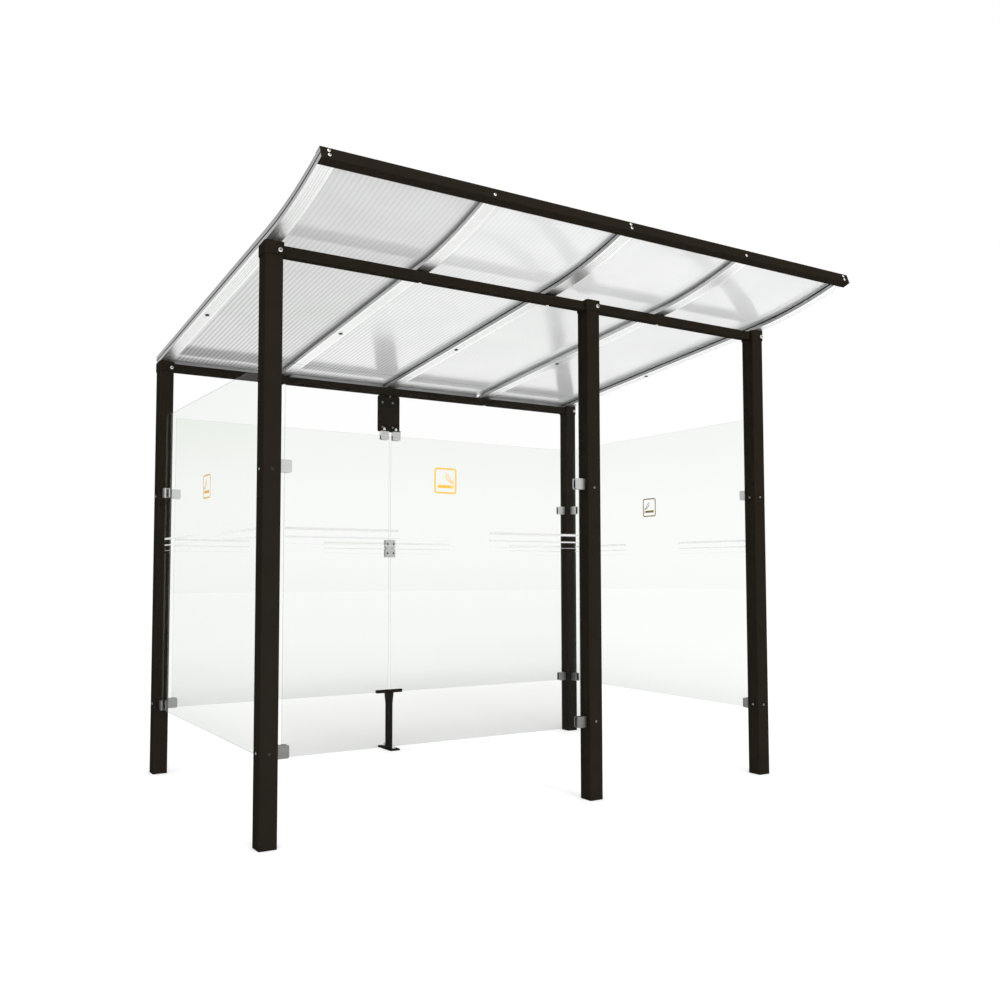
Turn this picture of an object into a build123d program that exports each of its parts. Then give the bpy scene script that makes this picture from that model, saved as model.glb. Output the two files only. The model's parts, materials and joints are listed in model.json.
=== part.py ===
from build123d import *
from math import cos, radians, sin, tan
import os

os.makedirs("parts", exist_ok=True)

# Open shelter on five square posts: glass on three sides, an entrance at the
# front right, and a single-pitch roof that sweeps up to a raised front edge.
# Millimetres. +X to the right, +Y to the rear, +Z up, floor at z = 0.
# The origin is on the floor, midway across the roof and between its edges.

# Plan
post_size = 70
front_bay = 1425
entrance_width = 985
side_bay = 1433

# Roof line
seat_height = 2199
roof_slope = 6.08
front_radius = 2140
front_bend = 13.8
bend_start = 4

# Posts and frame
post_wall = 3
post_corner = 5
foot_plate = 5
sleeve_wall = 3
sleeve_gap = 0.3
sleeve_skirt = 3
beam_size = 40
beam_wall = 3
beam_corner = 4
seat_gap = 0.3

# Roof bars
bar_width = 60
bar_depth = 40
bar_wall = 2.5
cap_thickness = 2
stem_width = 12
groove_bottom = 15
groove_height = 8
groove_depth = 5
light_flange = 15
light_web = 20
light_head = 4
rib_width = 2
rib_depth = 1
rib_pitch = 10

# Sheets
sheet_thickness = 8
sheet_edge_gap = 2
closure_wall = 1.2
closure_depth = 20
closure_gap = 0.3
closure_leg_gap = 4

# Front edge channel
channel_wall = 2
channel_depth = 36
channel_gap = 0.3
channel_corner = 2

# Glass
glass_thickness = 8
glass_bottom = 315
glass_gap = 25
joint_gap = 10

# Glass clamps
clamp_reach = 50
clamp_height = 48
clamp_thickness = 26
clamp_corner = 7
gasket = 2
clamp_low = 336
clamp_high = 1375

# Joint of the two rear panes
joint_clamp_height = 1118
joint_clamp_width = 60
joint_clamp_step = 51
hanger_width = 140
hanger_height = 208
hanger_thickness = 4
hanger_corner = 10
bracket_length = 116
bracket_thickness = 4
bracket_seat = 36
bracket_top_leg = 62
bracket_low_leg = 34
hanging_clamp_spacing = 74
foot_plate_length = 160
foot_plate_width = 60
foot_plate_thickness = 8
foot_plate_corner = 4
foot_hole_spacing = 110
foot_hole = 11
foot_stem = 30
flare_width = 50
flare_height = 60
saddle_length = 160
saddle_width = 18
saddle_height = 17
saddle_wall = 3

# Roof line in the plane of Y and Z, along the underside of the bars
slope = radians(roof_slope)
front_angle = radians(roof_slope + front_bend)
roof_width = 3 * post_size + front_bay + entrance_width
depth = 2 * post_size + side_bay
channel_skin = channel_wall + channel_gap
front_reach = (
    bend_start
    + front_radius * (sin(front_angle) - sin(slope))
    + channel_skin * (cos(front_angle) + sin(front_angle))
)
foot_reach = (foot_plate_length - post_size) / 2
rear_reach = max(sleeve_wall + sleeve_gap, bar_depth * sin(slope), foot_reach)

# Rows of posts
front_y = (front_reach - depth - rear_reach) / 2
rear_y = front_y + depth - post_size
left_x = -roof_width / 2
middle_x = left_x + post_size + front_bay
right_x = left_x + roof_width - post_size
front_mid = front_y + post_size / 2
rear_mid = rear_y + post_size / 2
left_mid = left_x + post_size / 2
right_mid = right_x + post_size / 2


def seat_at(y):
    """Height of the bars' underside on the straight part of the roof."""
    return seat_height - (y - front_y) * tan(slope)


# Posts: square tubes, closed by a plate at the foot and cut to the roof's slope
posts = {
    "post_front_left": (left_x, front_y),
    "post_front_middle": (middle_x, front_y),
    "post_front_right": (right_x, front_y),
    "post_rear_left": (left_x, rear_y),
    "post_rear_right": (right_x, rear_y),
}

for name, (x, y) in posts.items():
    centre_x = x + post_size / 2
    centre_y = y + post_size / 2
    post_top = seat_at(centre_y) - (sleeve_wall + sleeve_gap) / cos(slope)
    cut = Plane(origin=(centre_x, centre_y, post_top), z_dir=(0, sin(slope), cos(slope)))
    with BuildPart() as post:
        with BuildSketch(Plane((centre_x, centre_y, 0))):
            RectangleRounded(post_size, post_size, post_corner)
        extrude(amount=post_top + post_size)
        with BuildSketch(Plane((centre_x, centre_y, foot_plate))):
            Rectangle(post_size - 2 * post_wall, post_size - 2 * post_wall)
        extrude(amount=post_top + 2 * post_size, mode=Mode.SUBTRACT)
        split(bisect_by=cut, keep=Keep.BOTTOM)
    post.part.label = name
    export_step(post.part, f"parts/{name}.step")

# Sleeves: sockets that close the post tops and carry the end bars
sleeve_bore = post_size + 2 * sleeve_gap
sleeve_size = sleeve_bore + 2 * sleeve_wall
beam_touch = beam_size / 2 - beam_corner
front_beam_top = seat_at(front_mid + beam_touch) - beam_corner * (1 / cos(slope) - 1) - seat_gap
rear_beam_top = seat_at(rear_mid + beam_touch) - beam_corner * (1 / cos(slope) - 1) - seat_gap
sleeve_parts = []

for x, y in posts.values():
    centre_x = x + post_size / 2
    centre_y = y + post_size / 2
    beam_top = front_beam_top if y == front_y else rear_beam_top
    sleeve_bottom = beam_top - beam_size - sleeve_skirt
    sleeve_top = Plane(origin=(centre_x, centre_y, seat_at(centre_y)), z_dir=(0, sin(slope), cos(slope)))
    with BuildPart() as bore:
        with BuildSketch(Plane((centre_x, centre_y, sleeve_bottom))):
            RectangleRounded(sleeve_bore, sleeve_bore, post_corner + sleeve_gap)
        extrude(amount=2 * sleeve_size)
        split(bisect_by=sleeve_top.offset(-sleeve_wall), keep=Keep.BOTTOM)
    with BuildPart() as sleeve:
        with BuildSketch(Plane((centre_x, centre_y, sleeve_bottom))):
            RectangleRounded(sleeve_size, sleeve_size, post_corner + sleeve_gap + sleeve_wall)
        extrude(amount=2 * sleeve_size)
        split(bisect_by=sleeve_top, keep=Keep.BOTTOM)
        add(bore.part, mode=Mode.SUBTRACT)
    sleeve_parts.append(sleeve.part)

with BuildPart() as sleeves:
    add(sleeve_parts)
sleeves.part.label = "post_sleeves"
export_step(sleeves.part, "parts/post_sleeves.step")

# Crossbeams: square tubes between the sleeves, touching the bars at their rear edge
crossbeams = {
    "crossbeam_front_left": (left_x, middle_x, front_mid, front_beam_top),
    "crossbeam_front_right": (middle_x, right_x, front_mid, front_beam_top),
    "crossbeam_rear": (left_x, right_x, rear_mid, rear_beam_top),
}

beam_bore = beam_size - 2 * beam_wall

for name, (from_post, to_post, y, top) in crossbeams.items():
    start_x = from_post + post_size + sleeve_wall + sleeve_gap
    end_x = to_post - sleeve_wall - sleeve_gap
    with BuildPart() as beam:
        with BuildSketch(Plane(origin=(start_x, y, top - beam_size / 2), x_dir=(0, 1, 0), z_dir=(1, 0, 0))):
            RectangleRounded(beam_size, beam_size, beam_corner)
            Rectangle(beam_bore, beam_bore, mode=Mode.SUBTRACT)
        extrude(amount=end_x - start_x)
    beam.part.label = name
    export_step(beam.part, f"parts/{name}.step")

# Roof bars: extrusions along a straight run and a wide arc up to the front edge
rear_end_y = rear_y + post_size
bend_y = front_y - bend_start
section_dir = (0, -cos(slope), sin(slope))
bar_pitch = (roof_width - bar_width) / 4
bars = {
    "left_end": (left_x + bar_width / 2, "main"),
    "left_quarter": (left_x + bar_width / 2 + bar_pitch, "light"),
    "centre": (0, "main"),
    "right_quarter": (bar_pitch, "light"),
    "right_end": (left_x + roof_width - bar_width / 2, "main"),
}
shoulder = bar_depth - cap_thickness - sheet_thickness


def roof_path(x, short=0):
    """The bars' path at one place across the roof, from the rear end to the front."""
    start_y = rear_end_y - short * cos(slope)
    with BuildLine(Plane.YZ.offset(x)) as path:
        straight = Line((start_y, seat_at(start_y)), (bend_y, seat_at(bend_y)))
        JernArc(straight @ 1, tangent=(-cos(slope), sin(slope)), radius=front_radius, arc_size=-front_bend)
    return path.wire()


def section_plane(x, short=0):
    """Plane across the roof at its rear end: local x across the roof, local y up from the underside."""
    start_y = rear_end_y - short * cos(slope)
    return Plane(origin=(x, start_y, seat_at(start_y)), x_dir=(1, 0, 0), z_dir=section_dir)


for place, (x, kind) in bars.items():
    with BuildPart() as bar:
        with BuildSketch(section_plane(x)):
            with Locations((0, shoulder)):
                Rectangle(stem_width, sheet_thickness, align=(Align.CENTER, Align.MIN))
            if kind == "main":
                Rectangle(bar_width, shoulder, align=(Align.CENTER, Align.MIN))
                with Locations((bar_width / 2, groove_bottom), (-bar_width / 2, groove_bottom)):
                    Rectangle(
                        2 * groove_depth, groove_height, align=(Align.CENTER, Align.MIN), mode=Mode.SUBTRACT
                    )
                with Locations((0, bar_wall)):
                    Rectangle(
                        bar_width - 2 * bar_wall,
                        groove_bottom - 2 * bar_wall,
                        align=(Align.CENTER, Align.MIN),
                        mode=Mode.SUBTRACT,
                    )
                with Locations((0, groove_bottom)):
                    Rectangle(
                        bar_width - 2 * groove_depth - 2 * bar_wall,
                        shoulder - groove_bottom - bar_wall,
                        align=(Align.CENTER, Align.MIN),
                        mode=Mode.SUBTRACT,
                    )
            else:
                Rectangle(bar_width, light_flange, align=(Align.CENTER, Align.MIN))
                Rectangle(light_web, shoulder, align=(Align.CENTER, Align.MIN))
                with Locations((0, bar_wall)):
                    Rectangle(
                        bar_width - 2 * bar_wall,
                        light_flange - 2 * bar_wall,
                        align=(Align.CENTER, Align.MIN),
                        mode=Mode.SUBTRACT,
                    )
                with Locations((0, light_flange)):
                    Rectangle(
                        light_web - 2 * bar_wall,
                        shoulder - light_flange - bar_wall,
                        align=(Align.CENTER, Align.MIN),
                        mode=Mode.SUBTRACT,
                    )
            with GridLocations(rib_pitch, 0, 4, 1):
                Rectangle(rib_width, 2 * rib_depth, mode=Mode.SUBTRACT)
        sweep(path=roof_path(x))
    bar.part.label = f"roof_bar_{place}"
    export_step(bar.part, f"parts/roof_bar_{place}.step")

# Capping strips: clamp the sheets on the bars, with a leg that closes the outer side of the end bars
for place, (x, kind) in bars.items():
    with BuildPart() as capping:
        with BuildSketch(section_plane(x)):
            with Locations((0, bar_depth)):
                Rectangle(bar_width, cap_thickness, align=(Align.CENTER, Align.MAX))
            if place == "left_end":
                with Locations((-bar_width / 2, shoulder)):
                    Rectangle(bar_wall, sheet_thickness, align=(Align.MIN, Align.MIN))
            if place == "right_end":
                with Locations((bar_width / 2, shoulder)):
                    Rectangle(bar_wall, sheet_thickness, align=(Align.MAX, Align.MIN))
        sweep(path=roof_path(x))
    capping.part.label = f"roof_capping_{place}"
    export_step(capping.part, f"parts/roof_capping_{place}.step")

# Sheets: one between each two bars, their edges held between shoulder and capping
centres = [x for x, kind in bars.values()]
edge_offset = stem_width / 2 + sheet_edge_gap

sheet_short = closure_wall + closure_gap

for number, (x, next_x) in enumerate(zip(centres, centres[1:]), start=1):
    width = next_x - x - 2 * edge_offset
    middle = (x + next_x) / 2
    with BuildPart() as sheet:
        with BuildSketch(section_plane(middle, sheet_short)):
            with Locations((0, shoulder)):
                Rectangle(width, sheet_thickness, align=(Align.CENTER, Align.MIN))
        sweep(path=roof_path(middle, sheet_short))
    sheet.part.label = f"roof_sheet_{number}"
    export_step(sheet.part, f"parts/roof_sheet_{number}.step")

# Closures: thin channels on the sheets' rear edges, each between two bars, with a leg that hangs
# behind the rear crossbeam
closure_clear = 1
closure_height = sheet_thickness + 2 * (closure_gap + closure_wall)
with BuildPart() as closures:
    for x, next_x in zip(centres, centres[1:]):
        closure_plane = Plane(
            origin=(x + bar_width / 2 + closure_clear, rear_end_y, seat_at(rear_end_y)),
            x_dir=section_dir,
            z_dir=(1, 0, 0),
        )
        with BuildSketch(closure_plane):
            with Locations((0, -shoulder - sheet_thickness / 2)):
                Rectangle(closure_depth, closure_height, align=(Align.MIN, Align.CENTER))
            with Locations((closure_wall, -shoulder - sheet_thickness / 2)):
                Rectangle(
                    closure_depth,
                    closure_height - 2 * closure_wall,
                    align=(Align.MIN, Align.CENTER),
                    mode=Mode.SUBTRACT,
                )
            with Locations((0, -closure_leg_gap)):
                Rectangle(closure_wall, shoulder - closure_leg_gap, align=(Align.MIN, Align.MAX))
        extrude(amount=next_x - x - bar_width - 2 * closure_clear)
closures.part.label = "roof_sheet_closures"
export_step(closures.part, "parts/roof_sheet_closures.step")

# Front edge channel: wraps the front ends of bars and sheets, tilted with the roof
bars_end_y = bend_y - front_radius * (sin(front_angle) - sin(slope))
bars_end_z = seat_at(bend_y) + front_radius * (cos(slope) - cos(front_angle))
channel_plane = Plane(
    origin=(left_x, bars_end_y, bars_end_z), x_dir=(0, cos(front_angle), -sin(front_angle)), z_dir=(1, 0, 0)
)
# The sheets and bars curve up from the straight upper flange by this much over its depth
channel_rise = channel_depth**2 / (2 * (front_radius - bar_depth))
channel_inside = bar_depth + 2 * channel_gap + channel_rise

with BuildPart() as channel:
    with BuildSketch(channel_plane):
        with Locations((-channel_skin, -channel_skin)):
            Rectangle(channel_depth, channel_inside + 2 * channel_wall, align=(Align.MIN, Align.MIN))
        with Locations((-channel_gap, -channel_gap)):
            Rectangle(channel_depth, channel_inside, align=(Align.MIN, Align.MIN), mode=Mode.SUBTRACT)
    extrude(amount=roof_width)
    lengthwise = channel.edges().filter_by(Axis.X)
    fillet(lengthwise.sort_by(Axis(channel_plane.origin, channel_plane.x_dir))[:2], channel_corner)
channel.part.label = "front_edge_channel"
export_step(channel.part, "parts/front_edge_channel.step")

# Glass panes: their height leaves room for the hanger under the rear crossbeam
rear_beam_bottom = rear_beam_top - beam_size
clamp_seat = rear_beam_bottom - hanger_height
glass_height = clamp_seat - glass_gap - glass_bottom
rear_pane = (right_x - left_x - post_size - 2 * glass_gap - joint_gap) / 2
panes = {
    "glass_front": ((left_x + post_size + middle_x) / 2, front_mid, front_bay - 2 * glass_gap, "x"),
    "glass_left": (left_mid, (front_mid + rear_mid) / 2, side_bay - 2 * glass_gap, "y"),
    "glass_right": (right_mid, (front_mid + rear_mid) / 2, side_bay - 2 * glass_gap, "y"),
    "glass_rear_left": (-(joint_gap + rear_pane) / 2, rear_mid, rear_pane, "x"),
    "glass_rear_right": ((joint_gap + rear_pane) / 2, rear_mid, rear_pane, "x"),
}

for name, (x, y, width, along) in panes.items():
    size = (width, glass_thickness) if along == "x" else (glass_thickness, width)
    with BuildPart() as pane:
        with BuildSketch(Plane((x, y, glass_bottom))):
            Rectangle(*size)
        extrude(amount=glass_height)
    pane.part.label = name
    export_step(pane.part, f"parts/{name}.step")

# Glass clamps: two cheeks on a base against the post, lined with rubber round the pane's edge
slot = glass_thickness + 2 * gasket
slot_depth = clamp_reach - glass_gap + gasket
# One clamp, standing on the plane it is fixed to: local x across the pane, local y along the edge
with BuildPart() as clamp:
    with BuildSketch(Plane.XY):
        Rectangle(clamp_thickness, clamp_height)
    extrude(amount=clamp_reach)
    fillet(clamp.faces().sort_by(Axis.Z)[-1].edges().filter_by(Axis.X), clamp_corner)
    with BuildSketch(Plane.XY.offset(clamp_reach - slot_depth)):
        Rectangle(slot, clamp_height)
    extrude(amount=slot_depth, mode=Mode.SUBTRACT)
with BuildPart() as liner:
    with BuildSketch(Plane.XY.offset(clamp_reach - slot_depth)):
        Rectangle(slot, clamp_height - 2 * clamp_corner)
    extrude(amount=slot_depth)
    with BuildSketch(Plane.XY.offset(glass_gap)):
        Rectangle(glass_thickness, clamp_height)
    extrude(amount=slot_depth, mode=Mode.SUBTRACT)

levels = (clamp_low, clamp_high)


def edge_planes(x, y, out):
    """Where a pane's two clamps stand on the post face at x, y that looks along out."""
    return [Plane(origin=(x, y, z), x_dir=(out[1], -out[0], 0), z_dir=out) for z in levels]


hanging_x = hanging_clamp_spacing / 2
hanging_planes = [
    Plane(origin=(-hanging_x, rear_mid, clamp_seat), x_dir=(0, 1, 0), z_dir=(0, 0, -1)),
    Plane(origin=(hanging_x, rear_mid, clamp_seat), x_dir=(0, 1, 0), z_dir=(0, 0, -1)),
]
to_right = (1, 0, 0)
to_left = (-1, 0, 0)
to_rear = (0, 1, 0)
to_front = (0, -1, 0)
behind_front = front_y + post_size
beside_left = left_x + post_size
clamp_groups = {
    "front": edge_planes(beside_left, front_mid, to_right) + edge_planes(middle_x, front_mid, to_left),
    "left": edge_planes(left_mid, behind_front, to_rear) + edge_planes(left_mid, rear_y, to_front),
    "right": edge_planes(right_mid, behind_front, to_rear) + edge_planes(right_mid, rear_y, to_front),
    "rear": [
        *edge_planes(beside_left, rear_mid, to_right),
        *edge_planes(right_x, rear_mid, to_left),
        *hanging_planes,
    ],
}

# Joint clamps: two short pieces, one above the other, that tie the rear panes' meeting edges
joint_low = joint_clamp_height - joint_clamp_step / 2
joint_high = joint_clamp_height + joint_clamp_step / 2
cheek = (clamp_thickness - glass_thickness) / 2
with BuildPart() as joint_clamps:
    with BuildSketch(Plane.XZ.offset(-rear_mid - glass_thickness / 2)):
        with Locations((0, joint_low), (0, joint_high)):
            RectangleRounded(joint_clamp_width, clamp_height, clamp_corner)
    extrude(amount=-cheek)
    with BuildSketch(Plane.XZ.offset(-rear_mid + glass_thickness / 2)):
        with Locations((0, joint_low), (0, joint_high)):
            RectangleRounded(joint_clamp_width, clamp_height, clamp_corner)
    extrude(amount=cheek)
    with BuildSketch(Plane.XZ.offset(-rear_mid - glass_thickness / 2)):
        with Locations((0, joint_low), (0, joint_high)):
            Rectangle(joint_gap, clamp_height / 2)
    extrude(amount=glass_thickness)

for side, planes in clamp_groups.items():
    with BuildPart() as clamps:
        with Locations(*planes):
            add(clamp.part)
        if side == "rear":
            add(joint_clamps.part)
    clamps.part.label = f"clamps_{side}"
    export_step(clamps.part, f"parts/clamps_{side}.step")

with BuildPart() as gaskets:
    for planes in clamp_groups.values():
        with Locations(*planes):
            add(liner.part)
gaskets.part.label = "clamp_gaskets"
export_step(gaskets.part, "parts/clamp_gaskets.step")

# Hanger: a plate screwed to an angle under the rear crossbeam and to one that carries two clamps
hanger_y = rear_mid + bracket_seat / 2
with BuildPart() as hanger:
    with BuildSketch(Plane.XZ.offset(-hanger_y)):
        with Locations((0, clamp_seat + hanger_height / 2)):
            RectangleRounded(hanger_width, hanger_height, hanger_corner)
    extrude(amount=-hanger_thickness)
hanger.part.label = "hanger_plate"
export_step(hanger.part, "parts/hanger_plate.step")

with BuildPart() as brackets:
    with BuildSketch(Plane.YZ.offset(-bracket_length / 2)):
        with Locations((hanger_y, clamp_seat)):
            Rectangle(bracket_seat, bracket_thickness, align=(Align.MAX, Align.MIN))
            Rectangle(bracket_thickness, bracket_low_leg, align=(Align.MAX, Align.MIN))
        with Locations((hanger_y, rear_beam_bottom)):
            Rectangle(bracket_seat, bracket_thickness, align=(Align.MAX, Align.MAX))
            Rectangle(bracket_thickness, bracket_top_leg, align=(Align.MAX, Align.MAX))
    extrude(amount=bracket_length)
brackets.part.label = "hanger_brackets"
export_step(brackets.part, "parts/hanger_brackets.step")

# Foot under the joint: base plate with two holes, a square stem that flares, and a shoe for the panes
shoe_bottom = glass_bottom - gasket - saddle_wall
with BuildPart() as foot:
    with BuildSketch(Plane((0, rear_mid, 0))):
        RectangleRounded(foot_plate_width, foot_plate_length, foot_plate_corner)
        with Locations((0, foot_hole_spacing / 2), (0, -foot_hole_spacing / 2)):
            Circle(foot_hole / 2, mode=Mode.SUBTRACT)
    extrude(amount=foot_plate_thickness)
    with BuildSketch(Plane((0, rear_mid, foot_plate_thickness))):
        Rectangle(foot_stem, foot_stem)
    extrude(amount=shoe_bottom - flare_height - foot_plate_thickness)
    with BuildSketch(Plane((0, rear_mid, shoe_bottom - flare_height))):
        Rectangle(foot_stem, foot_stem)
    with BuildSketch(Plane((0, rear_mid, shoe_bottom))):
        Rectangle(flare_width, saddle_width)
    loft()
    with BuildSketch(Plane.YZ.offset(-saddle_length / 2)):
        with Locations((rear_mid, shoe_bottom)):
            Rectangle(saddle_width, saddle_height, align=(Align.CENTER, Align.MIN))
        with Locations((rear_mid, shoe_bottom + saddle_wall)):
            Rectangle(slot, saddle_height, align=(Align.CENTER, Align.MIN), mode=Mode.SUBTRACT)
    extrude(amount=saddle_length)
foot.part.label = "rear_glass_foot"
export_step(foot.part, "parts/rear_glass_foot.step")

# Shoe gasket: lines the shoe under and beside the panes' lower edges
with BuildPart() as shoe_gasket:
    with BuildSketch(Plane.YZ.offset(-saddle_length / 2)):
        with Locations((rear_mid, shoe_bottom + saddle_wall)):
            Rectangle(slot, saddle_height - saddle_wall, align=(Align.CENTER, Align.MIN))
        with Locations((rear_mid, glass_bottom)):
            Rectangle(glass_thickness, saddle_height, align=(Align.CENTER, Align.MIN), mode=Mode.SUBTRACT)
    extrude(amount=saddle_length)
shoe_gasket.part.label = "foot_gasket"
export_step(shoe_gasket.part, "parts/foot_gasket.step")
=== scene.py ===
import json
from math import cos, pi, radians, sin, sqrt, tan

import bmesh
import bpy
from mathutils import Matrix, Vector


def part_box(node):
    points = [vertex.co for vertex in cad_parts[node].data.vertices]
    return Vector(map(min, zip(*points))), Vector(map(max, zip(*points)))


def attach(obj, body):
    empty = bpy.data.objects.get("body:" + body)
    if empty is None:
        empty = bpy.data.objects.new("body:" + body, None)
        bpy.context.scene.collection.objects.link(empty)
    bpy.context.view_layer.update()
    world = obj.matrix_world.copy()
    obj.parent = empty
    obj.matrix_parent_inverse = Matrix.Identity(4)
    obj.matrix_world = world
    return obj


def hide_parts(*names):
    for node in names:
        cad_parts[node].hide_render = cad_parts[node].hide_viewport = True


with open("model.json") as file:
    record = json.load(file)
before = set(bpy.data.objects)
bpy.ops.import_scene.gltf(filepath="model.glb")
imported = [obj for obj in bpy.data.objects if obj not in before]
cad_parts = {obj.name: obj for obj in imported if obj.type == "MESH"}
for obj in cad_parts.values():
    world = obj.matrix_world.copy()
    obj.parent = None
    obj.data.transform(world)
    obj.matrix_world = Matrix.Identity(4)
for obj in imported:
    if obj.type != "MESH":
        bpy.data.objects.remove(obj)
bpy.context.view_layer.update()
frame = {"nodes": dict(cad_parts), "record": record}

# Plan of the posts, in metres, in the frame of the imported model
FRONT_LEFT, FRONT_MIDDLE, FRONT_RIGHT = (
    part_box(n) for n in ("post_front_left", "post_front_middle", "post_front_right"))
REAR_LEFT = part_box("post_rear_left")
POST = 0.070
HALF = POST / 2
LEFT, MIDDLE, RIGHT = FRONT_LEFT[0][0], FRONT_MIDDLE[0][0], FRONT_RIGHT[0][0]  # left faces of the front posts
FRONT = FRONT_LEFT[0][1]
REAR = REAR_LEFT[1][1]
REAR_INNER = REAR - POST
FRONT_MID, REAR_MID = FRONT + HALF, REAR_INNER + HALF

# Roof line: a straight slope from the rear, then a bend upwards over the front
SLOPE = radians(6.08)
BEND = radians(13.8)
RADIUS = 2.140
BEND_START = 0.004
SEAT = 2.199  # underside of the bars over the front posts
SHOULDER = 0.030  # height of the sheets over that underside
SHEET = 0.008

# Bars: three main ones and two narrower ones at the quarters
BAR_INSET = 0.030
BAR_PITCH = (1.310 - BAR_INSET) / 2
BAR_X = (LEFT + BAR_INSET, LEFT + BAR_INSET + BAR_PITCH, 0.0, LEFT + BAR_INSET + 3 * BAR_PITCH,
         -LEFT - BAR_INSET)
MAIN_BARS, QUARTER_BARS = BAR_X[::2], BAR_X[1::2]

X, Y, Z = range(3)
UP, DOWN = (0, 0, 1), (0, 0, -1)
TO_FRONT, TO_REAR, TO_LEFT, TO_RIGHT = (0, -1, 0), (0, 1, 0), (-1, 0, 0), (1, 0, 0)


def seat_at(y):
    """Height of the bars' straight underside."""
    return SEAT - (y - FRONT) * tan(SLOPE)


def roof_stations(short=0.0, arc_steps=14):
    """Places along the roof, rear to front: y, z on the bars' underside and the roof's tilt there."""
    start = REAR - short * cos(SLOPE)
    bend = FRONT - BEND_START
    out = [(start, seat_at(start), SLOPE), (bend, seat_at(bend), SLOPE)]
    for i in range(1, arc_steps + 1):
        a = SLOPE + BEND * i / arc_steps
        out.append((bend - RADIUS * (sin(a) - sin(SLOPE)), seat_at(bend) + RADIUS * (cos(SLOPE) - cos(a)), a))
    return out


def roof_point(station, x, up):
    """A point over a station, square to the roof."""
    y, z, a = station
    return Vector((x, y + up * sin(a), z + up * cos(a)))


# Nodes
def new_material(name):
    """An empty material, its nodes and links, and the socket for its surface."""
    m = bpy.data.materials.new(name)
    m.use_nodes = True
    n = m.node_tree.nodes
    n.clear()
    return m, n, m.node_tree.links, n.new("ShaderNodeOutputMaterial").inputs["Surface"]


def put(l, socket, value):
    """Link an output to a socket, or set the socket to a number or a colour."""
    if isinstance(value, bpy.types.NodeSocket):
        l.new(value, socket)
    else:
        socket.default_value = (*value, 1) if isinstance(value, tuple) else value


def noise(n, l, low, high, scale, grain=(1, 1, 1), detail=4):
    """A noise value between low and high that follows the piece."""
    co = n.new("ShaderNodeTexCoord")
    mp = n.new("ShaderNodeMapping")
    mp.inputs["Scale"].default_value = grain
    l.new(co.outputs["Object"], mp.inputs["Vector"])
    t = n.new("ShaderNodeTexNoise")
    t.inputs["Scale"].default_value = scale
    t.inputs["Detail"].default_value = detail
    l.new(mp.outputs[0], t.inputs["Vector"])
    r = n.new("ShaderNodeMapRange")
    r.inputs["To Min"].default_value = low
    r.inputs["To Max"].default_value = high
    l.new(t.outputs["Fac"], r.inputs["Value"])
    return r.outputs[0]


def coordinate(n, l, kind, axis):
    """One axis of the piece's own coordinates or normal."""
    co = n.new("ShaderNodeTexCoord")
    s = n.new("ShaderNodeSeparateXYZ")
    l.new(co.outputs[kind], s.inputs[0])
    return s.outputs[axis]


def maths(n, l, operation, *values):
    """The result of one operation on numbers or outputs."""
    m = n.new("ShaderNodeMath")
    m.operation = operation
    for socket, value in zip(m.inputs, values):
        put(l, socket, value)
    return m.outputs[0]


def ramp(n, l, value, start, end, stops):
    """Colours along a value: stops are (place, colour), with the place in the value's own unit."""
    r = n.new("ShaderNodeMapRange")
    r.inputs["From Min"].default_value = start
    r.inputs["From Max"].default_value = end
    l.new(value, r.inputs["Value"])
    c = n.new("ShaderNodeValToRGB")
    marks = c.color_ramp.elements
    while len(marks) < len(stops):
        marks.new(0.5)
    for mark, (place, color) in zip(marks, stops):
        mark.position = (place - start) / (end - start)
        mark.color = (*color, 1) if isinstance(color, tuple) else (color, color, color, 1)
    l.new(r.outputs[0], c.inputs[0])
    return c.outputs[0]


def over_width(n, l, stops):
    """Painted light and shade from the left of the roof to its right."""
    return ramp(n, l, coordinate(n, l, "Object", X), -1.35, 1.35, stops)


def over_depth(n, l, stops):
    """Painted light and shade from the front of the roof to its rear."""
    return ramp(n, l, coordinate(n, l, "Object", Y), -1.1, 1.1, stops)


def times(n, l, a, b):
    """The product of two colours."""
    x = n.new("ShaderNodeMix")
    x.data_type = "RGBA"
    x.blend_type = "MULTIPLY"
    x.inputs[0].default_value = 1
    put(l, x.inputs[6], a)
    put(l, x.inputs[7], b)
    return x.outputs[2]


def bumped(n, l, height, strength, distance=0.0004):
    """A normal that follows a height."""
    b = n.new("ShaderNodeBump")
    b.inputs["Strength"].default_value = strength
    b.inputs["Distance"].default_value = distance
    l.new(height, b.inputs["Height"])
    return b.outputs[0]


def shader(n, l, kind, **inputs):
    """One shader, with its inputs given by name."""
    s = n.new(f"ShaderNodeBsdf{kind}")
    for name, value in inputs.items():
        put(l, s.inputs[name], value)
    return s.outputs[0]


def mixed(n, l, share, first, second):
    """Two shaders, of which the second has the share."""
    x = n.new("ShaderNodeMixShader")
    put(l, x.inputs[0], share)
    l.new(first, x.inputs[1])
    l.new(second, x.inputs[2])
    return x.outputs[0]


def sheen_share(n, l, ior):
    """How much a see-through surface mirrors: only on its outer side."""
    fres = n.new("ShaderNodeFresnel")
    fres.inputs["IOR"].default_value = ior
    geo = n.new("ShaderNodeNewGeometry")
    outer = maths(n, l, "SUBTRACT", 1.0, geo.outputs["Backfacing"])
    return maths(n, l, "MULTIPLY", fres.outputs[0], outer)


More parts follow.
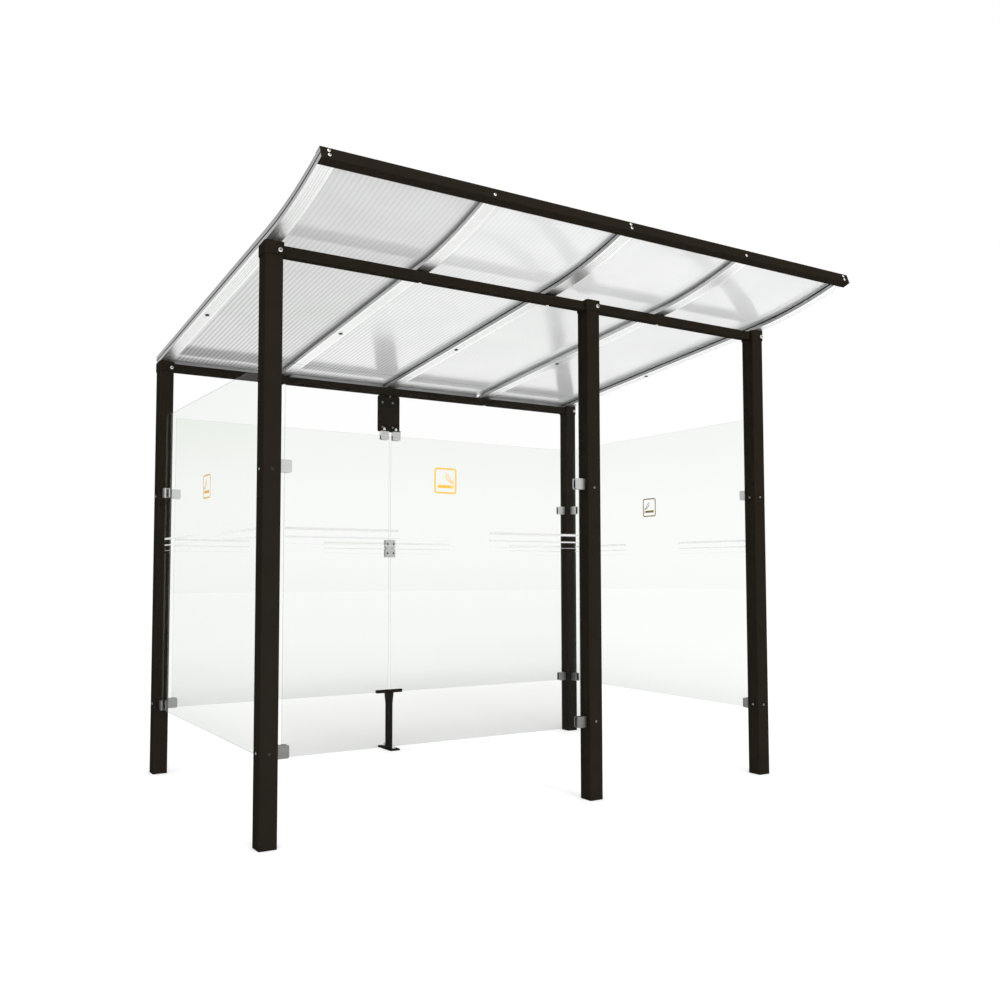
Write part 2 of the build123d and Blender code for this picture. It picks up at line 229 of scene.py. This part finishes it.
# Materials
def principled(name, color, rough, metal=0.0, spec=0.5, vary=0.1, rough_vary=0.0, grain=(1, 1, 1), scale=60.0,
               bump=0.0, bump_scale=60.0, bump_grain=(1, 1, 1), under=None, heights=None):
    """A surface with uneven colour: under is painted light, a paler colour where it faces down, and heights is
    painted shade that scales the colour by height.
    """
    m, n, l, surface = new_material(name)
    b = n.new("ShaderNodeBsdfPrincipled")
    l.new(b.outputs[0], surface)
    b.inputs["Roughness"].default_value = rough
    b.inputs["Metallic"].default_value = metal
    b.inputs["Specular IOR Level"].default_value = spec
    base = color
    # painted light: the colour turns paler where the surface faces down
    if under:
        base = ramp(n, l, coordinate(n, l, "Normal", Z), -1, 1, [(-0.85, under), (-0.6, color)])
    # painted shade: the colour is scaled by height
    if heights:
        base = times(n, l, base, ramp(n, l, coordinate(n, l, "Object", Z), 0, 2.4, heights))
    l.new(times(n, l, base, noise(n, l, 1 - vary, 1 + vary, scale, grain)), b.inputs["Base Color"])
    if rough_vary:
        spread = noise(n, l, max(0.02, rough - rough_vary), rough + rough_vary, scale, grain)
        l.new(spread, b.inputs["Roughness"])
    if bump:
        l.new(bumped(n, l, noise(n, l, 0, 1, bump_scale, bump_grain, 3), bump), b.inputs["Normal"])
    return m


def coat_material():
    """Matt dark powder coat with a slight sheen and a fine grain."""
    m, n, l, surface = new_material("powder_coat")
    grain = bumped(n, l, noise(n, l, 0, 1, 1500, detail=3), 0.12)
    color = times(n, l, (0.0118, 0.0090, 0.0058), noise(n, l, 0.85, 1.15, 9))
    paint = shader(n, l, "Diffuse", Color=color, Normal=grain)
    gloss = shader(n, l, "Glossy", Roughness=noise(n, l, 0.28, 0.42, 9), Normal=grain)
    l.new(mixed(n, l, 0.004, paint, gloss), surface)
    return m


coat = coat_material()

# Extruded bars, drawn along their length, with painted light: paler where they face the ground; the centre,
# right end and quarter bars get painted-light copies of the same aluminium
ALONG = dict(metal=1, grain=(60, 0.4, 2), scale=6)
bar_metal = principled("extruded_aluminium", (0.40, 0.40, 0.405), 0.34, **ALONG, vary=0.08, rough_vary=0.08,
                       bump=0.06, bump_scale=8, bump_grain=(30, 0.3, 2), under=(0.90, 0.90, 0.90))
# painted light: a copy with paler sides and undersides for the quarter bars
quarter_metal_painted_light = principled("extruded_aluminium_painted_pale", (0.62, 0.62, 0.625), 0.34, **ALONG, vary=0.05,
                           rough_vary=0.05, under=(0.98, 0.98, 0.98))
# painted light: a copy with whiter undersides for the centre and right end bars
end_metal_painted_light = principled("extruded_aluminium_painted_bright_under", (0.40, 0.40, 0.405), 0.34, **ALONG, vary=0.03,
                       rough_vary=0.05, under=(1.0, 1.0, 1.0))
strip_metal = principled("capping_aluminium", (0.30, 0.30, 0.305), 0.32, **ALONG, vary=0.08, rough_vary=0.08)
closure_metal = principled("closure_aluminium", (0.60, 0.60, 0.60), 0.7, metal=1, vary=0.08, rough_vary=0.08,
                           grain=(0.4, 60, 8), scale=6)

# Fittings: the clamps carry painted shade by height, darker at the foot and lighter towards the top of the
# panes
clamp_metal = principled("satin_steel", (0.46, 0.46, 0.455), 0.42, metal=1, vary=0.06, rough_vary=0.10,
                         scale=70, heights=[(0.3, 0.43), (1.4, 1.25)])
# painted light: a paler copy of the same satin steel for the rear clamps, with its own painted shade by height
rear_clamp_metal_painted_light = principled("satin_steel_rear_painted_light", (0.65, 0.65, 0.645), 0.42, metal=1, vary=0.06,
                              rough_vary=0.10, scale=70, heights=[(0.3, 0.42), (1.4, 0.95)])
bright_metal = principled("bright_steel", (0.80, 0.80, 0.80), 0.18, metal=1, vary=0.04, rough_vary=0.06,
                          scale=200)
bolt_metal = principled("bolt_steel", (0.60, 0.60, 0.59), 0.22, metal=1, vary=0.06, rough_vary=0.08, scale=200)
dull_metal = principled("dull_steel", (0.30, 0.29, 0.28), 0.30, metal=1, vary=0.08, rough_vary=0.08, scale=200)
dark_screw = principled("blackened_screw", (0.03, 0.027, 0.025), 0.35, metal=0.6, vary=0.15, scale=300)
rubber = principled("black_rubber", (0.012, 0.012, 0.012), 0.6, spec=0.3, vary=0.2, scale=80, bump=0.3,
                    bump_scale=900)
amber = principled("amber_film", (0.70, 0.36, 0.03), 0.45, vary=0.06, scale=120)
film_back = principled("film_back", (0.27, 0.175, 0.045), 0.6, vary=0.08, scale=120)


def glass_material(name, facing, stops):
    """Clear glass with a faint green tint and painted shade by height on the faces that look along one axis,
    darker towards the foot, with pale green edges.
    """
    m, n, l, surface = new_material(name)
    # painted shade: the glass darkens towards its foot
    height = ramp(n, l, coordinate(n, l, "Object", Z), 0.3, 1.8, stops)
    clear = shader(n, l, "Transparent", Color=times(n, l, height, noise(n, l, 0.996, 1.0, 3)))
    face = mixed(n, l, sheen_share(n, l, 1.12), clear, shader(n, l, "Glossy", Roughness=0.0))
    rim = shader(n, l, "Diffuse", Color=times(n, l, (0.50, 0.56, 0.53), noise(n, l, 0.9, 1.0, 40)))
    edge = mixed(n, l, 0.94, rim, shader(n, l, "Transparent", Color=(0.76, 0.82, 0.79)))
    away = maths(n, l, "ABSOLUTE", coordinate(n, l, "Normal", facing))
    l.new(mixed(n, l, maths(n, l, "GREATER_THAN", away, 0.5), edge, face), surface)
    return m


# Painted shade on the panes: over a faint green tint they lighten up from the foot; each value stands for one
# of a pane's two faces
FRONT_TINT_AND_SHADE = [(0.31, (0.842, 0.844, 0.838)), (0.42, (0.905, 0.908, 0.902)), (0.62, (0.968, 0.974, 0.967)),
              (1.1, (0.990, 0.996, 0.988)), (1.78, (1.0, 1.0, 1.0))]
OTHER_TINT_AND_SHADE = [(0.31, (0.885, 0.893, 0.882)), (0.42, (0.928, 0.935, 0.925)), (0.62, (0.962, 0.970, 0.960)),
              (1.05, (0.982, 0.988, 0.979)), (1.4, (0.980, 0.987, 0.977)), (1.78, (0.956, 0.966, 0.953))]
glass_front = glass_material("glass_front_pane", Y, FRONT_TINT_AND_SHADE)
glass_rear = glass_material("glass_rear_pane", Y, OTHER_TINT_AND_SHADE)
glass_side = glass_material("glass_side_pane", X, OTHER_TINT_AND_SHADE)

# Roof sheets: painted shade makes them darker over the left bay, and painted light makes them more see-through
# towards the right; through is the share that is seen through, left to right
SHEET_BODY = 0.95
SHEET_PAINTED_SHADE = [(-1.3, 0.85), (-0.70, 0.88), (-0.55, 1.0)]
SHEET_THROUGH_PAINTED = [(-1.3, 0.15), (-0.72, 0.25), (-0.55, 0.38), (1.3, 0.45)]
SKIN_THROUGH = 0.88
SKIN_LINES = 0.35


def web_lines(n, l, first_web, web_step):
    """1 on each web of a sheet, falling to 0 beside it."""
    u = maths(n, l, "DIVIDE", maths(n, l, "SUBTRACT", coordinate(n, l, "Object", X), first_web), web_step)
    u = maths(n, l, "SUBTRACT", maths(n, l, "FRACT", maths(n, l, "ADD", u, 0.5)), 0.5)
    return ramp(n, l, maths(n, l, "ABSOLUTE", u), 0, 0.5, [(0.0, 1.0), (0.12, 0.65), (0.32, 0.0)])


def sheet_material(name, through, first_web, web_step, lines=1.0):
    """Multiwall plastic: milky, partly see-through, glossy, with painted shade: a darker line at each web,
    stronger towards the rear and over the left bay, and a tone darker towards the front and over the left bay.
    """
    m, n, l, surface = new_material(name)
    line = web_lines(n, l, first_web, web_step)
    # painted shade: the web lines grow towards the rear and over the left bay
    depth = over_depth(n, l, [(-0.9, 0.08), (-0.3, 0.16), (0.4, 0.34)])
    depth = maths(n, l, "MULTIPLY", depth, over_width(n, l, [(-0.9, 1.4), (0.2, 0.55)]))
    depth = maths(n, l, "MULTIPLY", depth, lines)
    tone = maths(n, l, "SUBTRACT", 1.0, maths(n, l, "MULTIPLY", line, depth))
    tone = times(n, l, tone, noise(n, l, 0.96, 1.04, 5))
    # painted shade: darker over the left bay and towards the front
    tone = times(n, l, tone, over_width(n, l, SHEET_PAINTED_SHADE))
    tone = times(n, l, tone, over_depth(n, l, [(-0.9, 0.96), (-0.3, 0.97), (0.2, 1.0)]))
    body = times(n, l, tone, (SHEET_BODY, SHEET_BODY, SHEET_BODY))
    milky = mixed(n, l, 0.7, shader(n, l, "Diffuse", Color=body), shader(n, l, "Translucent", Color=body))
    clear = shader(n, l, "Transparent", Color=times(n, l, tone, (0.98, 0.985, 0.985)))
    # painted light: a list gives a share seen through that changes from left to right
    if isinstance(through, list):
        through = over_width(n, l, through)
    plastic = mixed(n, l, through, milky, clear)
    wave = bumped(n, l, line, 0.35, 0.0006)
    gloss = shader(n, l, "Glossy", Roughness=noise(n, l, 0.10, 0.16, 5), Normal=wave)
    share = maths(n, l, "MULTIPLY", sheen_share(n, l, 1.5), 1.9)
    # painted reflection strength: the mirroring grows towards the rear
    share = maths(n, l, "MULTIPLY", share, over_depth(n, l, [(-0.3, 0.9), (0.5, 1.1)]))
    l.new(mixed(n, l, share, plastic, gloss), surface)
    return m


def clear_material():
    """The hollow side of the sheets' walls and webs."""
    m, n, l, surface = new_material("flute_inside")
    l.new(shader(n, l, "Transparent", Color=noise(n, l, 0.98, 1.0, 5)), surface)
    return m


def frosted_material(name, low, high, through):
    """Frosted film, lit from both of its sides."""
    m, n, l, surface = new_material(name)
    diff = shader(n, l, "Diffuse", Color=noise(n, l, low, high, 400))
    back = shader(n, l, "Translucent", Color=noise(n, l, low, high, 400))
    clear = shader(n, l, "Transparent", Color=(0.96, 0.96, 0.96))
    l.new(mixed(n, l, through, mixed(n, l, 0.5, diff, back), clear), surface)
    return m


multiwall = sheet_material("multiwall_polycarbonate", SHEET_THROUGH_PAINTED, 0, 0.0208)
flute_inside = clear_material()
# The same frosted film twice as painted light and shade: darker and less see-through on the front pane, paler
# on the other panes
frosted = frosted_material("frosted_film", 0.70, 0.76, 0.12)
frosted_side_painted_light = frosted_material("frosted_film_side_painted_light", 0.94, 0.99, 0.45)

by_slot = {"frame": coat, "roof_bar": bar_metal, "capping": strip_metal, "roof_sheet": multiwall,
           "glass": glass_rear, "gasket": rubber, "clamp": clamp_metal}
by_node = {"glass_front": glass_front, "glass_left": glass_side, "glass_right": glass_side,
           "roof_sheet_closures": closure_metal, "clamps_rear": rear_clamp_metal_painted_light,
           "roof_bar_left_quarter": quarter_metal_painted_light, "roof_bar_right_quarter": quarter_metal_painted_light,
           "roof_bar_right_end": end_metal_painted_light, "roof_bar_centre": end_metal_painted_light}
for part in frame["record"]["subparts"]:
    node = frame["nodes"][part["node"]]
    for s in node.material_slots:
        s.material = by_node.get(part["node"], by_slot[part["material_slot"]])


# Pieces
def piece(name, bm, *materials, slot, smooth=False):
    """A finished piece of the part from its mesh."""
    bmesh.ops.recalc_face_normals(bm, faces=bm.faces)
    me = bpy.data.meshes.new(name)
    bm.to_mesh(me)
    bm.free()
    for m in materials:
        me.materials.append(m)
    if smooth:
        for p in me.polygons:
            p.use_smooth = True
        me.set_sharp_from_angle(angle=radians(35))
    ob = bpy.data.objects.new(name, me)
    bpy.context.scene.collection.objects.link(ob)
    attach(ob, "root")
    return ob


def turned(bm, profile, at, axis, sides=20, turn=0.0):
    """Add a closed turned form: profile holds (radius, height) from the middle below to the middle on top."""
    rot = Vector(UP).rotation_difference(Vector(axis).normalized()).to_matrix().to_4x4()
    place = Matrix.Translation(at) @ rot
    angles = [turn + 2 * pi * i / sides for i in range(sides)]
    rings = []
    for r, h in profile:
        ring = [(r * cos(a), r * sin(a), h) for a in angles] if r else [(0, 0, h)]
        rings.append([bm.verts.new(place @ Vector(p)) for p in ring])
    for a, b in zip(rings, rings[1:]):
        for i in range(sides):
            j = (i + 1) % sides
            quad = [a[i % len(a)], a[j % len(a)], b[j % len(b)], b[i % len(b)]]
            quad = [v for k, v in enumerate(quad) if v not in quad[:k]]
            if len(quad) > 2:
                bm.faces.new(quad)


def disc(r, low, high):
    """Profile of a plain disc between two heights."""
    return [(0, low), (r, low), (r, high), (0, high)]


def button(r, h, socket):
    """Profile of a domed head with a socket."""
    dome = [(r, 0.18 * h), (0.93 * r, 0.5 * h), (0.78 * r, 0.78 * h), (0.56 * r, 0.95 * h)]
    return [(0, 0), (r, 0), *dome, (socket, h), (socket, 0.45 * h), (0, 0.45 * h)]


def tube(bm, rings, closed=False):
    """Join four-cornered rings into a band; an open one gets a face at each end."""
    for a, b in list(zip(rings, rings[1:])) + ([(rings[-1], rings[0])] if closed else []):
        for i in range(4):
            j = (i + 1) % 4
            bm.faces.new((a[i], a[j], b[j], b[i]))
    if not closed:
        bm.faces.new(rings[0])
        bm.faces.new(list(reversed(rings[-1])))


def bolts(name, spots, r, h, material, slot="clamp"):
    """Domed heads on their spots, which are (place, axis), each with a dark socket."""
    bm = bmesh.new()
    socket = 0.4 * r
    for at, axis in spots:
        first = len(bm.faces)
        turned(bm, button(r, h, socket), at, axis)
        bm.faces.ensure_lookup_table()
        along = Vector(axis).normalized()
        for f in bm.faces[first:]:
            off = f.calc_center_median() - at
            up = off.dot(along)
            if up > 0.3 * h and (off - along * up).length < 1.02 * socket:
                f.material_index = 1
    return piece(name, bm, material, dark_screw, smooth=True, slot=slot)


# Bolts on the sleeves' front faces: post, offset across it, face of the post, height
SLEEVE_WALL = 0.0033
SLEEVE_BOLTS = ((LEFT, 0.0560, FRONT, 2.168), (MIDDLE, 0.057, FRONT, 2.174), (RIGHT, 0.059, FRONT, 2.1705),
                (LEFT, 0.0575, REAR_INNER, 2.009), (RIGHT, 0.0594, REAR_INNER, 2.011))
spots = [(Vector((x + across, y - SLEEVE_WALL, z)), TO_FRONT) for x, across, y, z in SLEEVE_BOLTS]
bolts("sleeve_bolts", spots, 0.0092, 0.0046, bolt_metal)

# Heads of the bolts that run through the posts to the glass clamps; a few sit slightly off the middle
CLAMP_Z = (0.338, 1.360)
bright, dull = [], []
for z in CLAMP_Z:
    bright += [
        (Vector((LEFT, FRONT_MID + 0.004, z)), TO_LEFT),
        (Vector((MIDDLE + HALF - 0.001, FRONT, z)), TO_FRONT),
        (Vector((MIDDLE + POST, FRONT_MID, z)), TO_RIGHT),
        (Vector((RIGHT + HALF, FRONT, z)), TO_FRONT),
        (Vector((RIGHT, FRONT_MID, z)), TO_LEFT),
        (Vector((LEFT, REAR_MID, z)), TO_LEFT),
        (Vector((RIGHT + POST, REAR_MID, z)), TO_RIGHT),
        (Vector((LEFT + HALF, REAR, z)), TO_REAR),
        (Vector((RIGHT + HALF, REAR, z)), TO_REAR),
    ]
    dull.append((Vector((LEFT + HALF, FRONT, z)), TO_FRONT))
bolts("clamp_bolts", bright, 0.0052, 0.0030, dull_metal)
bolts("clamp_bolts_dark", dull, 0.0072, 0.0036, rubber, slot="frame")

# Screws through the front edge channel into the ends of the bars, at their heights over the underside
CHANNEL_FACE = 0.0023
MAIN_SCREWS, QUARTER_SCREWS = (0.030, 0.0125), (0.014,)
end = roof_stations()[-1]
end_out = Vector((0, -cos(end[2]), sin(end[2])))
channel = [(x, up) for x in MAIN_BARS for up in MAIN_SCREWS]
channel += [(x, up) for x in QUARTER_BARS for up in QUARTER_SCREWS]
spots = [(roof_point(end, x, up) + end_out * CHANNEL_FACE, end_out) for x, up in channel]
bolts("channel_screws", spots, 0.0064, 0.0032, bright_metal)

# Screws up into the bars: at mid span, and through the crossbeams
MID_SPAN, BEAM_MID = 0.8146, 0.046  # distances behind the front
mid_y = FRONT + MID_SPAN
under_bar = (0, -sin(SLOPE), -cos(SLOPE))
spots = [(Vector((x, mid_y, seat_at(mid_y))), under_bar) for x in BAR_X]
bolts("mid_span_screws", spots, 0.0102, 0.004, dark_screw, slot="frame")
beam_front_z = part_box("crossbeam_front_left")[0][2]
beam_rear_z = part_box("crossbeam_rear")[0][2]
spots = [(Vector((x, FRONT + BEAM_MID, beam_front_z)), DOWN) for x in BAR_X[1:4]]
spots += [(Vector((x, REAR_MID, beam_rear_z)), DOWN) for x in QUARTER_BARS]
bolts("crossbeam_screws", spots, 0.007, 0.004, bright_metal)

# Hanger: screws through plate and angles, one under the crossbeam, and domed nuts over the clamps
ANGLE = 0.004  # wall of the angles
HANGER_X, HANGER_Z = (-0.0416, 0.0233), (1.9538, 1.8109)
NUT_X = 0.037
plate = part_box("hanger_plate")
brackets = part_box("hanger_brackets")
spots = [(Vector((x, plate[0][1] - ANGLE, z)), TO_FRONT) for x in HANGER_X for z in HANGER_Z]
spots.append((Vector((0.0037, REAR_MID + 0.009, brackets[1][2] - ANGLE)), DOWN))
bolts("hanger_screws", spots, 0.0064, 0.0034, dull_metal)
bm = bmesh.new()
for side in (-1, 1):
    at = Vector((side * NUT_X, REAR_MID, brackets[0][2] + ANGLE))
    turned(bm, disc(0.0105, 0, 0.0015), at, UP, 24)
    turned(bm, disc(0.0085, 0.0015, 0.0085), at, UP, 6)
    dome = [(0.0072, 0.0085), (0.0070, 0.0125), (0.0056, 0.0160), (0.0030, 0.0182)]
    turned(bm, [(0, 0.0085), *dome, (0, 0.0188)], at, UP, 24)
piece("domed_nuts", bm, bright_metal, smooth=True, slot="clamp")

# Anchors of the foot: washer, nut and stud end
FOOT_PLATE = 0.008
ANCHOR_Y = 0.055
bm = bmesh.new()
for side in (-1, 1):
    at = Vector((0, REAR_MID + side * ANCHOR_Y, FOOT_PLATE))
    turned(bm, disc(0.0125, 0, 0.002), at, UP, 28)
    turned(bm, disc(0.0092, 0.002, 0.0105), at, UP, 6, 0.3)
    turned(bm, [(0, 0.0105), (0.005, 0.0105), (0.005, 0.0150), (0.0042, 0.0158), (0, 0.0158)], at, UP, 16)
piece("foot_anchors", bm, bright_metal, smooth=True, slot="clamp")

# Joint clamps: small screws on both faces
JOINT_FACE = 0.013
JOINT_Z, JOINT_UP, JOINT_ACROSS = 1.118, 0.0255, 0.019
spots = [(Vector((sx * JOINT_ACROSS, REAR_MID + sy * JOINT_FACE, JOINT_Z + sz * JOINT_UP)), (0, sy, 0))
         for sz in (-1, 1) for sx in (-1, 1) for sy in (-1, 1)]
bolts("joint_clamp_screws", spots, 0.0055, 0.0026, dark_screw, slot="frame")

# Black sealing strips in the side grooves of the main bars
GROOVE_IN, GROOVE_OUT = 0.0251, 0.0296  # from the bar's middle
GROOVE_LOW, GROOVE_HIGH = 0.0152, 0.0228
for place, x in zip(("left", "centre", "right"), MAIN_BARS):
    bm = bmesh.new()
    for side in (-1, 1):
        inner, outer = x + side * GROOVE_IN, x + side * GROOVE_OUT
        corners = ((inner, GROOVE_LOW), (outer, GROOVE_LOW), (outer, GROOVE_HIGH), (inner, GROOVE_HIGH))
        tube(bm, [[bm.verts.new(roof_point(s, px, up)) for px, up in corners] for s in roof_stations()])
    piece(f"groove_strips_{place}", bm, rubber, slot="gasket")

# Roof sheets: twin walls joined by webs that run from the rear to the front
SHORT = 0.0015
WALL = 0.0006
WEB = 0.0005
FLUTE = 0.021
EDGE = 0.008  # from a bar's middle to the sheet
INSIDE, SKIN = 1, 2  # materials of the hollow side and of the top wall
LEVELS = (SHOULDER, SHOULDER + WALL, SHOULDER + SHEET - WALL, SHOULDER + SHEET)
stations = roof_stations(SHORT)
for number in range(4):
    x0, x1 = BAR_X[number] + EDGE, BAR_X[number + 1] - EDGE
    count = round((x1 - x0 - WEB) / FLUTE)
    step = (x1 - x0 - WEB) / count
    xs = []
    for i in range(count + 1):
        xs += [x0 + i * step, x0 + i * step + WEB]
    bm = bmesh.new()
    grid = [[[bm.verts.new(roof_point(s, x, up)) for x in xs] for up in LEVELS] for s in stations]
    last = len(xs) - 1
    for a, b in zip(grid, grid[1:]):
        for row, index in ((0, 0), (3, SKIN)):
            for i in range(last):
                bm.faces.new((a[row][i], a[row][i + 1], b[row][i + 1], b[row][i])).material_index = index
        for k in range(3):
            for i in (0, last):
                bm.faces.new((a[k][i], a[k + 1][i], b[k + 1][i], b[k][i]))
        for i in range(1, last, 2):
            for row in (1, 2):
                bm.faces.new((a[row][i], a[row][i + 1], b[row][i + 1], b[row][i])).material_index = INSIDE
            for col in (i, i + 1):
                bm.faces.new((a[1][col], a[2][col], b[2][col], b[1][col])).material_index = INSIDE
    for g in (grid[0], grid[-1]):
        for i in range(last):
            for k in ((0, 1, 2) if i % 2 == 0 else (0, 2)):
                bm.faces.new((g[k][i], g[k][i + 1], g[k + 1][i + 1], g[k + 1][i]))
    loose = [v for v in bm.verts if not v.link_faces]
    bmesh.ops.delete(bm, geom=loose, context="VERTS")
    body = sheet_material(f"multiwall_{number + 1}", SHEET_THROUGH_PAINTED, x0 + WEB / 2, step)
    skin = sheet_material(f"multiwall_skin_{number + 1}", SKIN_THROUGH, x0 + WEB / 2, step, SKIN_LINES)
    ob = piece(f"multiwall_sheet_{number + 1}", bm, body, flute_inside, skin, slot="roof_sheet")
    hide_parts(f"roof_sheet_{number + 1}")

# Film on the glass: frosted stripes with a bare gap, and the smoking-area pictogram
FILM = 0.0001
FILM_OFF = 0.00005  # between glass and film
STRIPES = ((1.1472, 0.0100), (1.1165, 0.0058), (1.0900, 0.0014))  # middle and height
STRIPE_GAP = 0.212
STRIPE_END = 0.003
SIGN_Z = 1.3545
SIGN_FRAME, SIGN_CORNER, SIGN_LINE = 0.0488, 0.010, 0.0066
CIGARETTE = ((-0.037, 0.028), (0.0305, 0.0345), (0.0370, 0.0410))
CIGARETTE_LOW, CIGARETTE_HIGH = -0.0295, -0.0170
SMOKE = (
    [(0.0390, -0.0090), (0.0360, -0.0040), (0.0290, 0.0000), (0.0220, 0.0050), (0.0190, 0.0120),
     (0.0150, 0.0190), (0.0100, 0.0240)],
    [(0.0340, -0.0120), (0.0290, -0.0070), (0.0200, -0.0040), (0.0130, 0.0020), (0.0050, 0.0100),
     (0.0010, 0.0190), (0.0040, 0.0270), (0.0080, 0.0300)],
)
SMOKE_LINE = 0.0042


def film_box(bm, place, u0, u1, v0, v1):
    """A thin plate on a pane: place maps across, up and out of the pane to the frame."""
    c = [place(u, v, w) for w in (0, FILM) for u, v in ((u0, v0), (u1, v0), (u1, v1), (u0, v1))]
    vs = [bm.verts.new(p) for p in c]
    for f in ((0, 1, 2, 3), (7, 6, 5, 4), (0, 4, 5, 1), (1, 5, 6, 2), (2, 6, 7, 3), (3, 7, 4, 0)):
        bm.faces.new([vs[i] for i in f])


def film_line(bm, place, points, width, closed=False):
    """A band of even width along points in the pane's plane."""
    n = len(points)
    rings = []
    for i, (u, v) in enumerate(points):
        p = points[(i - 1) % n] if closed or i else points[i]
        q = points[(i + 1) % n] if closed or i < n - 1 else points[i]
        du, dv = q[0] - p[0], q[1] - p[1]
        size = sqrt(du * du + dv * dv)
        nu, nv = -dv / size * width / 2, du / size * width / 2
        corners = ((1, 0), (1, FILM), (-1, FILM), (-1, 0))
        rings.append([bm.verts.new(place(u + s * nu, v + s * nv, w)) for s, w in corners])
    tube(bm, rings, closed)


def pane_place(node, across, out):
    """Maps a pane's middle line, height and outer face to the frame; also gives half its width."""
    lo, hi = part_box(node)
    centre = (Vector(lo) + Vector(hi)) / 2
    across, out = Vector(across), Vector(out)
    face = abs(out.dot((Vector(hi) - Vector(lo)) / 2))

    def place(u, v, w):
        p = centre + across * u + out * (face + FILM_OFF + w)
        return Vector((p.x, p.y, v))

    return place, abs(across.dot(Vector(hi) - Vector(lo))) / 2


def rounded_square(size, r, steps=6):
    """Points round a square of half width size with corners of radius r."""
    pts = []
    for k, (su, sv) in enumerate(((1, 1), (-1, 1), (-1, -1), (1, -1))):
        for i in range(steps + 1):
            a = radians(90 * k + 90 * i / steps)
            pts.append((su * (size - r) + r * cos(a), sv * (size - r) + r * sin(a)))
    return pts


# Each pane's node, directions across and out of it, and the pictogram's place across, if it has one
PANES = {
    "front": ("glass_front", TO_RIGHT, TO_FRONT, 0.0),
    "left": ("glass_left", TO_REAR, TO_LEFT, 0.0),
    "right": ("glass_right", TO_REAR, TO_RIGHT, 0.013),
    "rear_left": ("glass_rear_left", TO_RIGHT, TO_REAR, None),
    "rear_right": ("glass_rear_right", TO_RIGHT, TO_REAR, None),
}
for name, (node, across, out, sign) in PANES.items():
    place, width = pane_place(node, across, out)
    bm = bmesh.new()
    for z, h in STRIPES:
        for s in (-1, 1):
            u0, u1 = sorted((s * STRIPE_GAP, s * (width - STRIPE_END)))
            film_box(bm, place, u0, u1, z - h / 2, z + h / 2)
    piece(f"stripes_{name}", bm, frosted if name == "front" else frosted_side_painted_light, slot="glass")
    if sign is None:
        continue
    bm = bmesh.new()
    square = rounded_square(SIGN_FRAME, SIGN_CORNER)
    film_line(bm, place, [(sign + u, SIGN_Z + v) for u, v in square], SIGN_LINE, closed=True)
    for u0, u1 in CIGARETTE:
        film_box(bm, place, sign + u0, sign + u1, SIGN_Z + CIGARETTE_LOW, SIGN_Z + CIGARETTE_HIGH)
    for wave in SMOKE:
        film_line(bm, place, [(sign + u, SIGN_Z + v) for u, v in wave], SMOKE_LINE)
    ob = piece(f"pictogram_{name}", bm, amber, film_back, slot="capping")
    inward = -Vector(out)
    for p in ob.data.polygons:
        if p.normal.dot(inward) > 0.9:
            p.material_index = 1

# Floor, a little under the feet; its glow is only seen, and lights nothing
FLOOR_SIZE = 40
FLOOR_Z = -0.0006
FLOOR_TONE = 0.80
FLOOR_GLOW = 0.23
bm = bmesh.new()
bmesh.ops.create_grid(bm, x_segments=1, y_segments=1, size=FLOOR_SIZE)
me = bpy.data.meshes.new("floor")
bm.to_mesh(me)
bm.free()
floor = bpy.data.objects.new("floor", me)
floor.location = (0, 0, FLOOR_Z)
bpy.context.scene.collection.objects.link(floor)
m, n, l, surface = new_material("pale_floor")
path = n.new("ShaderNodeLightPath")
seen = maths(n, l, "MAXIMUM", path.outputs["Is Camera Ray"], path.outputs["Is Glossy Ray"])
seen = maths(n, l, "MAXIMUM", seen, path.outputs["Is Transmission Ray"])
glow = n.new("ShaderNodeEmission")
l.new(maths(n, l, "MULTIPLY", seen, FLOOR_GLOW), glow.inputs["Strength"])
add = n.new("ShaderNodeAddShader")
l.new(shader(n, l, "Diffuse", Color=(FLOOR_TONE, FLOOR_TONE, FLOOR_TONE)), add.inputs[0])
l.new(glow.outputs[0], add.inputs[1])
l.new(add.outputs[0], surface)
me.materials.append(m)

# An even white studio and two round lamps
world = bpy.data.worlds.new("studio")
bpy.context.scene.world = world
world.use_nodes = True
n = world.node_tree.nodes
n.clear()
white = n.new("ShaderNodeBackground")
white.inputs["Color"].default_value = (1, 1, 1, 1)
white.inputs["Strength"].default_value = 1.0
world.node_tree.links.new(white.outputs[0], n.new("ShaderNodeOutputWorld").inputs["Surface"])


def area(name, at, target, size, power):
    """A round lamp that looks at its target."""
    light = bpy.data.lights.new(name, "AREA")
    light.shape = "DISK"
    light.size = size
    light.energy = power
    ob = bpy.data.objects.new(name, light)
    ob.location = at
    ob.rotation_euler = (Vector(target) - Vector(at)).to_track_quat("-Z", "Y").to_euler()
    bpy.context.scene.collection.objects.link(ob)
    return ob


area("key", (-3.5, -4.5, 6.5), (0, 0, 0.6), 4.0, 120)
area("front", (0.5, -9.0, 2.4), (0, 0, 1.2), 3.0, 420).visible_glossy = False

# Camera, found from the photograph: focal length and optical middle in pixels of its square picture
PICTURE = 1000
FOCAL = 955.74
CENTRE_X, CENTRE_Y = 444.10, 518.74
camera = bpy.data.cameras.new("camera")
camera.sensor_width = 36
camera.sensor_fit = "HORIZONTAL"
camera.lens = FOCAL * camera.sensor_width / PICTURE
camera.shift_x = (PICTURE / 2 - CENTRE_X) / PICTURE
camera.shift_y = (CENTRE_Y - PICTURE / 2) / PICTURE
camera.clip_end = 200
ob = bpy.data.objects.new("camera", camera)
ob.location = (-1.18374 + LEFT, -3.27929 + FRONT, 0.98715)
ob.rotation_euler = (radians(93.183), radians(-0.072), radians(-30.633))
bpy.context.scene.collection.objects.link(ob)
bpy.context.scene.camera = ob

view = bpy.context.scene.view_settings
view.view_transform = "Standard"
